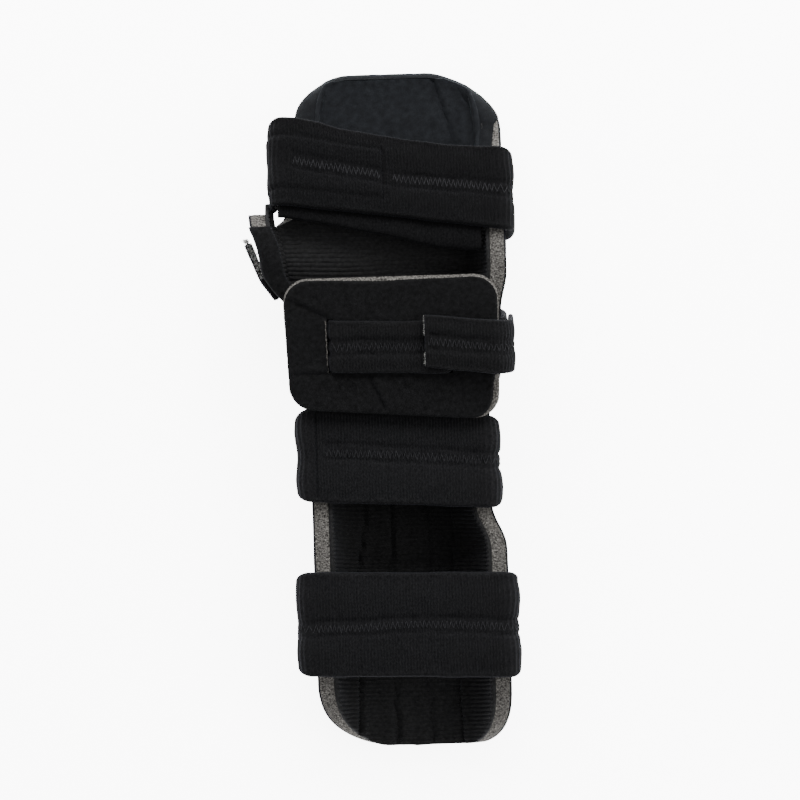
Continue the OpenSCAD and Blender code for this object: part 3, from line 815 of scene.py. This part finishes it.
STRAP_T = 2.8
BAND_W, TAB_W = 26, 26.5
wrist = Frame(31, 53.1, 9.5, 1.8)
wrist_band = Frame(31, 53.1, 9.5, 1.8, 1.4)
wrist_tab = Frame(31, 53.1, 9.5, 6.8, 6)
SLOT_X, SLOT_Y, SLOT_SIZE = (-35.8, 21.4), (2.5, 0.7), (3.6, 26.6)
PAD_CORNERS = ((-58.8, 35.4), (46.5, 35.4), (45.2, -36.4), (-56.4, -28.2))
PAD_CORNER_R = 12
PAD_CREASES = (((-57, 26), (-37.5, 16.2), 1.0), ((-55.6, -11.4), (-20, -11.0), 0.9),
    ((-18.5, -11.6), (-10.4, -29.5), 1.0), ((-36, -11.2), (26, -13.4), 0.8))


def pad_outline(radius, count=288):
    """Distance of the pad's rounded outline from its middle, at evenly spaced angles."""
    corners = [np.array(p, float) for p in PAD_CORNERS]
    line = []
    for k, p in enumerate(corners):
        a, b = corners[k - 1] - p, corners[(k + 1) % 4] - p
        a, b = a / np.linalg.norm(a), b / np.linalg.norm(b)
        half = math.acos(a @ b) / 2
        centre = p + (a + b) / np.linalg.norm(a + b) * radius / math.sin(half)
        ta, tb = p + a * radius / math.tan(half) - centre, p + b * radius / math.tan(half) - centre
        start = math.atan2(ta[1], ta[0])
        turn = (math.atan2(tb[1], tb[0]) - start + 3 * math.pi) % (2 * math.pi) - math.pi
        sweep = [start + turn * j / 12 for j in range(13)]
        line += [centre + radius * np.array([math.cos(angle), math.sin(angle)]) for angle in sweep]
    line = np.array(line)
    closed = np.concatenate([line, line[:1]])
    steps = np.linspace(0, 1, 40)[:-1, None]
    dense = np.concatenate([a + (b - a) * steps for a, b in zip(closed, closed[1:])])
    angle = np.arctan2(dense[:, 1], dense[:, 0])
    order = np.argsort(angle)
    angles = np.linspace(-math.pi, math.pi, count + 1)[:-1]
    reach = np.hypot(dense[:, 0], dense[:, 1])
    return angles, np.interp(angles, angle[order], reach[order], period=2 * math.pi)


def sag(x, y):
    """How far the pad's ends and corners droop, in millimetres."""
    return 1.3 * (np.clip((np.abs(x + 6) - 20) / 34, 0, 1)) ** 2 + 0.5 * noise(x, y, 34, 51)


def crease_depth(x, y):
    """How deep the facing's creases are; each has a low fold along its left side."""
    depth, fold = 0, 0
    for (x0, y0), (x1, y1), deep in PAD_CREASES:
        dx, dy = x1 - x0, y1 - y0
        f = np.clip(((x - x0) * dx + (y - y0) * dy) / (dx * dx + dy * dy), 0, 1)
        away = np.hypot(x - x0 - f * dx + 0.5 * noise(x, y, 9, 52), y - y0 - f * dy)
        side = (dx * (y - y0) - dy * (x - x0)) / math.hypot(dx, dy)
        fold = fold + 0.75 * bump(side - 2.3, 1.7) * ease(0, 0.25, f) * (1 - ease(0.75, 1, f))
        depth = np.maximum(depth, deep * bump(away, 1.1))
    return depth - fold * (1 - np.clip(depth, 0, 1))


def pad_plate(name, node, material, low, high, inset, edge_r, grain=0.0, crown=0.0, rings=60):
    """A layer of the wrist pad between the heights low and high, with its slots cut."""
    angles, radius = pad_outline(PAD_CORNER_R)
    radius = radius - inset(angles)
    f = np.linspace(0, 1, rings + 1)[1:] ** 0.8
    half = (high - low) / 2
    x = f[:, None] * radius * np.cos(angles)
    y = f[:, None] * radius * np.sin(angles)
    edge = np.clip((radius * (1 - f[:, None])) / edge_r, 0, 1)
    drop = half * 0.9 * (1 - np.sqrt(np.clip(1 - (1 - edge) ** 2, 0, 1)))
    top = high - drop - crown * crease_depth(x, y) * edge + crown * 0.18 * noise(x, y, 7, 53)
    bottom = low + drop
    under = sag(x, y)
    steps = 6 if grain else 2
    upper = wrist.place(x, y, top - under)
    ring_x, ring_y = x[-1], y[-1]
    rim = []
    for j in range(1, steps):
        z = top[-1] + (bottom[-1] - top[-1]) * j / steps
        index = np.arange(len(angles))
        push = 1 + (0.25 * math.sin(math.pi * j / steps) + grain * noise(index, j, 1, 55)
            + grain * noise(index, j, 3, 56)) / radius
        rim.append(wrist.place(ring_x * push, ring_y * push, z - under[-1]))
    lower = wrist.place(x, y, bottom - under)
    centre_top = wrist.place(0.0, 0.0, high - sag(0.0, 0.0))
    centre_low = wrist.place(0.0, 0.0, low - sag(0.0, 0.0))
    layers = list(upper) + rim + list(lower[::-1])
    n = len(angles)
    points = np.concatenate([np.concatenate(layers), centre_top.reshape(1, 3), centre_low.reshape(1, 3)])
    faces = quads(len(layers), n, wrap=True)
    faces = [(p[0], p[3], p[2], p[1]) for p in faces]
    last = (len(layers) - 1) * n
    top_i, low_i = len(layers) * n, len(layers) * n + 1
    faces += [(top_i, i, (i + 1) % n) for i in range(n)]
    faces += [(low_i, last + (i + 1) % n, last + i) for i in range(n)]
    piece = new_piece(name, points, faces, material, 50)
    cut_slots(piece)
    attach(piece, "wrist_pad")
    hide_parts(node)
    return piece


def cut_slots(piece):
    """Cuts the strap's two slots out of a plate."""
    for x, y in zip(SLOT_X, SLOT_Y):
        corners = [wrist.place(x + i * SLOT_SIZE[0] / 2, y + j * SLOT_SIZE[1] / 2, k) for k in (-6, 14)
            for i, j in ((-1, -1), (1, -1), (1, 1), (-1, 1))]
        box = new_piece("slot_cutter", np.array(corners),
            [(3, 2, 1, 0), (4, 5, 6, 7), (0, 1, 5, 4), (1, 2, 6, 5), (2, 3, 7, 6), (3, 0, 4, 7)],
            piece.data.materials[0])
        cut = piece.modifiers.new("slot", "BOOLEAN")
        cut.operation = "DIFFERENCE"
        cut.object = box
        cut.solver = "EXACT"
        graph = bpy.context.evaluated_depsgraph_get()
        made = bpy.data.meshes.new_from_object(piece.evaluated_get(graph))
        piece.modifiers.clear()
        piece.data = made
        mesh = box.data
        bpy.data.objects.remove(box)
        bpy.data.meshes.remove(mesh)
    piece.data.name = piece.name
    piece.data.set_sharp_from_angle(angle=math.radians(50))


def facing_inset(angle):
    """How far the facing stops short of the foam's edge: along the top, on the right and at one corner."""
    top = bump(angle - 1.95, 0.62) * 1.5 + bump(angle - 0.95, 0.45) * 0.9
    right = bump(angle, 0.5) * 0.5 + bump(angle + 0.5, 0.24) * 3.0
    return 0.2 + top + right


pad_plate("pad_backing", "wrist_pad_backing", PAD, 0, 1.0, lambda a: 0.4 + 0 * a, 1.0)
pad_plate("pad_foam", "wrist_pad_foam", FOAM, 1.1, 5.6, lambda a: 0 * a, 1.4, grain=0.1)
pad_plate("pad_facing", "wrist_pad_facing", PAD, 5.5, 6.7, facing_inset, 1.6, crown=1.0)


# A foam-grey bead along the left slot's top edge: painted highlight standing for that edge where it catches
# the light.
slot_edge = [wrist.place(SLOT_X[0] - 1.95 + 0.1 * math.sin(k * 0.9) - 0.012 * k, SLOT_Y[0] - 12.6 + k * 0.63,
    6.7 - sag(SLOT_X[0], 0.0)) for k in range(41)]
slot_painted_highlight = threads("slot_painted_highlight", [slot_edge], 0.27, FOAM)
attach(slot_painted_highlight, "wrist_pad")


def bent(points, r):
    """A line of (x, z) points with each corner rounded over r on either side."""
    p = [np.array(q, float) for q in points]
    line = [p[0]]
    for a, b, c in zip(p, p[1:], p[2:]):
        u, w = (a - b) / np.linalg.norm(a - b), (c - b) / np.linalg.norm(c - b)
        reach = min(r, np.linalg.norm(a - b) / 2.01, np.linalg.norm(c - b) / 2.01)
        for f in np.linspace(0, 1, 7):
            line.append((b + u * reach) * (1 - f) ** 2 + 2 * b * f * (1 - f) + (b + w * reach) * f ** 2)
    return line + [p[-1]]


# The wrist strap comes up on the left, under the pad, up and down through the slots and down on the right
UNDER, OVER = -2.9, 7.0
BAND_LEFT, BAND_RIGHT, BAND_BEND = -53.5, 47.9, 34
in_slots = SLOT_X[0] + 1.4, SLOT_X[1] - 1.4
narrow = [(BAND_LEFT, -19), (BAND_LEFT, UNDER), (in_slots[0], UNDER), (in_slots[0], OVER),
    (in_slots[1], OVER), (in_slots[1], UNDER), (BAND_RIGHT, UNDER), (BAND_RIGHT, -17)]
path = Path(bent(narrow, 2.5) + arc(BAND_RIGHT - BAND_BEND, -18, BAND_BEND, 0, -35), soften=1.2)
face = dict(seam=(34, 100), seed=400, puff=0.7)
strap_piece = strap_mesh("wrist_strap_band", wrist_band, path, BAND_W, STRAP_T, NARROW, **face)
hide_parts("wrist_strap", "wrist_strap_anchor")
wrist.point(51.7, -20)
wrist.point(49.7, -14)
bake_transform(strap_piece)
stitch = zigzag("wrist_strap_stitching", wrist_band, path, BAND_W, STRAP_T, 36, 98, **face)
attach(stitch, "wrist_pad")

TAB_Z, TAB_X, TAB_END, TAB_BEND = 11.4, 50.9, 10, 9.4
tab_line = [(TAB_END, TAB_Z - 0.6), (TAB_END + 8, TAB_Z)]
tab_line += arc(TAB_X - TAB_BEND, TAB_Z - TAB_BEND, TAB_BEND, 90, 0) + [(TAB_X, -12.3)]
tab_path = Path(tab_line, soften=2)
face = dict(seam=(0, 46), seed=500, puff=0.9)
tab = strap_mesh("wrist_tab_band", wrist_tab, tab_path, TAB_W, STRAP_T, NARROW, end_round=0.8, **face)
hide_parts("wrist_tab", "wrist_tab_base")
tab_fold = (wrist.point(54.5, -5), wrist.point(52.5, 1))
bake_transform(tab)
stitch = zigzag("wrist_tab_stitching", wrist_tab, tab_path, TAB_W, STRAP_T, 1.5, 46, **face)
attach(stitch, "wrist_tab")


SPREAD = 0.618  # spreads numbered fibres evenly over a range


def fibres(name, roots, count, length, radius, seed, droop=0.0):
    """Loose fibres: roots gives each one's place and direction in the trough's frame."""
    lines = []
    for k in range(count):
        a = [float(lattice(k, j, seed)) for j in range(6)]
        place, way = roots(k, a[0])
        way = np.array(way) + np.array([a[1], a[2], a[3]]) * 0.45
        way /= np.linalg.norm(way)
        size = length * (0.6 + 0.4 * a[4])
        curl = np.array([a[5], a[3], a[1]]) * 0.35 * size
        steps = np.linspace(0, 1, 6)[:, None]
        lines.append(np.array(place) + way * size * steps + (curl + [0, 0, -droop * size]) * steps ** 2)
    return threads(name, lines, radius, FRAY_PAINTED_HIGHLIGHT)


def tab_end_root(k, a):
    f = (k * SPREAD) % 1
    v = 2.5 + 20 * f if f < 0.5 else -12.5 + 14 * (f - 0.5)
    lift = STRAP_T * (0.15 + 0.35 * (a + 1))
    p = wrist_tab.place(TAB_END, v - TAB_END * wrist_tab.slope, TAB_Z - 0.6 + lift)
    return p, (-1.0, 0.1, 0.25)


fray = fibres("tab_end_fibres", tab_end_root, 120, 0.8, 0.075, 61)
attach(fray, "wrist_tab")

# ---------------------------------------------------------------- thumb strap

class Upright:
    """Lays a strap's path out in plan, with its width upright round a middle height."""
    slope = 0.0

    def __init__(self, middle):
        self.middle = middle

    def place(self, x, y, z):
        x, y, z = np.broadcast_arrays(np.asarray(x, float), y, z)
        return np.stack([x, z, self.middle + y], -1)


THUMB_Z, THUMB_W, THUMB_T = 31.5, 19, 3.6
thumb_frame = Upright(THUMB_Z)
thumb_path = Path([(-60.0, 57.6), (-63.6, 62.6), (-66.7, 66.7), (-70.0, 75.0), (-73.7, 84.9)],
    step=0.6, soften=4)
face = dict(seam=(0, 40), seed=600, puff=0.4)
thumb_band = strap_mesh("thumb_strap_band", thumb_frame, thumb_path, THUMB_W, THUMB_T, NARROW, edge_wave=0.5,
    end_round=0.8, **face)
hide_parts("thumb_strap", "thumb_strap_anchor")
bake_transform(thumb_band)


def thumb_end_root(k, a):
    z = 22.4 + 18.2 * ((k * SPREAD) % 1)
    return (-75.9 + 0.9 * a, 84.4, z), (-0.35, 0.9, 0.1)


def thumb_top_root(k, a):
    f = (k * SPREAD) % 1
    x, y = np.interp(f, (0, 1), (-68.6, -75.5)), np.interp(f, (0, 1), (66.5, 84))
    return (x + 0.6 - 1.4 * a, y, 40.9), (0.6 - 0.9 * a, 0.2, 0.5)


for name, root, count, length in (("thumb_end_fibres", thumb_end_root, 120, 2.2),
        ("thumb_edge_fibres", thumb_top_root, 160, 2.0)):
    fray = fibres(name, root, count, length, 0.09, 71)
    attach(fray, "thumb_strap")

# ---------------------------------------------------------------- fabric folded over the finger pan's rim

def pan_edge():
    """The pan's rim from its left side round the tip to its right side, as (y, s) and outward directions."""
    y = rows_of(113, HALF, 0.8, False, True)
    left = np.stack([y, -at(left_girth, y)], -1)
    y = rows_of(126, HALF, 0.8, False, True)[::-1]
    right = np.stack([y, at(right_girth, y)], -1)
    across = np.linspace(left[-1, 1], right[0, 1], 60)[1:-1]
    edge = np.concatenate([left, np.stack([0 * across + HALF, across], -1), right])
    length = np.concatenate([[0], np.cumsum(np.linalg.norm(np.diff(edge, axis=0), axis=1))])
    even = np.linspace(0, length[-1], int(length[-1] / 0.8))
    edge = np.stack([np.interp(even, length, edge[:, k]) for k in (0, 1)], -1)
    wide = np.pad(edge, ((4, 4), (0, 0)), mode="edge")
    smooth = np.stack([np.convolve(wide[:, k], np.ones(9) / 9, "valid") for k in (0, 1)], -1)
    t = np.gradient(smooth, axis=0)
    t /= np.linalg.norm(t, axis=1, keepdims=True)
    return edge, np.stack([t[:, 1], -t[:, 0]], -1)


edge, outward = pan_edge()


def pan_rim(grip_out, grip_in, thick):
    """The rim fabric's two faces: it grips the outside by grip_out and the inside by grip_in. Each place
    in its profile is (distance past the edge, depth); on the right it leaves the foam bare low down."""
    line = [(-grip_out, -0.1), (-grip_out / 2, -0.1), (-1.2, -0.1), (0.0, 0.3), (0.6, 1.6),
        (0.8, 3.4), (0.8, 5.4), (0.7, 7.4), (0.4, 9.2), (-0.5, 10.9), (-1.7, 12.1), (-2.9, 12.9),
        (-4.4, 13.0), (-grip_in, 12.5)]
    rings = ([], [])
    bare = np.where(edge[:, 1] > 0, np.interp(edge[:, 0], (127, 139, 143), (5.2, 3.4, -0.2)), -0.2)
    a_of, d_of = [q[0] for q in line], [q[1] for q in line]
    tip = ease(HALF - 9, HALF - 2, edge[:, 0])
    for k, (a, d) in enumerate(line):
        a = np.where(d < bare, np.interp(np.maximum(d, bare), d_of, a_of), a)
        short = d < bare
        d = np.maximum(d, bare) - (1.1 * tip if k > 10 else 0)
        a = a * (1 - 0.55 * tip) if k > 10 else a
        before, after = line[max(k - 1, 0)], line[min(k + 1, len(line) - 1)]
        da, dd = after[0] - before[0], after[1] - before[1]
        size = math.hypot(da, dd)
        wobble = thick * (1 + 0.3 * noise(np.arange(len(edge)), k, 5, 81)) * (0.2 if k > 11 else 1)
        wobble = wobble * np.where(short, 0.3, 1)
        for ring, push in ((rings[0], wobble), (rings[1], 0 * wobble)):
            out = a + push * dd / size
            depth = d - push * da / size
            ring.append(trough(edge[:, 0] + out * outward[:, 0], edge[:, 1] + out * outward[:, 1], depth))
    return np.stack(rings[0], 1), np.stack(rings[1], 1)


# The rim fabric uses the darker copy of the brushed pad, painted shade over the light band on its rounded
# top.
rim = closed_sheet("pan_rim_fabric", *pan_rim(6, 6.2, 0.5), RIM_PAINTED_SHADE, rim_steps=2, swell=0.1, sharp=60)
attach(rim, "shell")

# ---------------------------------------------------------------- floor, light and camera

def plain(name, color, roughness):
    mat = bpy.data.materials.new(name)
    mat.use_nodes = True
    mat.node_tree.nodes["Principled BSDF"].inputs["Base Color"].default_value = (*color, 1)
    mat.node_tree.nodes["Principled BSDF"].inputs["Roughness"].default_value = roughness
    return mat


bpy.ops.mesh.primitive_plane_add(size=12, location=(0, 0, -0.0002))
floor = bpy.context.object
floor.name = "floor"
paper = plain("floor_paper", (0.95, 0.95, 0.95), 0.9)
paper.node_tree.nodes["Principled BSDF"].inputs["Emission Color"].default_value = (1, 1, 1, 1)
paper.node_tree.nodes["Principled BSDF"].inputs["Emission Strength"].default_value = 7
floor.data.materials.append(paper)


def area_light(name, place, target, size, power, tint=(1, 1, 1)):
    light = bpy.data.lights.new(name, "AREA")
    light.shape = "RECTANGLE"
    light.size, light.size_y = size
    light.energy = power
    light.color = tint
    obj = bpy.data.objects.new(name, light)
    obj.location = place
    obj.rotation_euler = (Vector(target) - Vector(place)).to_track_quat("-Z", "Y").to_euler()
    bpy.context.scene.collection.objects.link(obj)


area_light("key_light", (0.0, 1.1, 0.9), (0, 0, 0.03), (1.6, 0.8), 70)
area_light("left_light", (-1.2, 0.1, 0.9), (0, 0, 0.03), (0.8, 1.4), 6)
area_light("right_light", (1.2, 0.0, 0.9), (0, 0, 0.03), (0.8, 1.4), 30)

world = bpy.data.worlds.new("studio")
world.use_nodes = True
world.node_tree.nodes["Background"].inputs["Color"].default_value = (1, 1, 1, 1)
world.node_tree.nodes["Background"].inputs["Strength"].default_value = 1.0
bpy.context.scene.world = world

# The camera looks straight down from far away, rolled a little, near the middle of the splint
ROLL = 1.79
VIEW_HEIGHT = 4
VIEW_WIDTH = 0.392
VIEW_X, VIEW_Y, VIEW_LEVEL = -3.05, 5.24, 0.04
camera_data = bpy.data.cameras.new("camera")
camera_data.sensor_width = 36
camera_data.lens = 36 * VIEW_HEIGHT / VIEW_WIDTH
camera = bpy.data.objects.new("camera", camera_data)
camera.location = ((PLACE_X + VIEW_X) * MM, VIEW_Y * MM, VIEW_HEIGHT + VIEW_LEVEL)
camera.rotation_euler = (0, 0, -math.radians(ROLL))
bpy.context.scene.collection.objects.link(camera)
bpy.context.scene.camera = camera
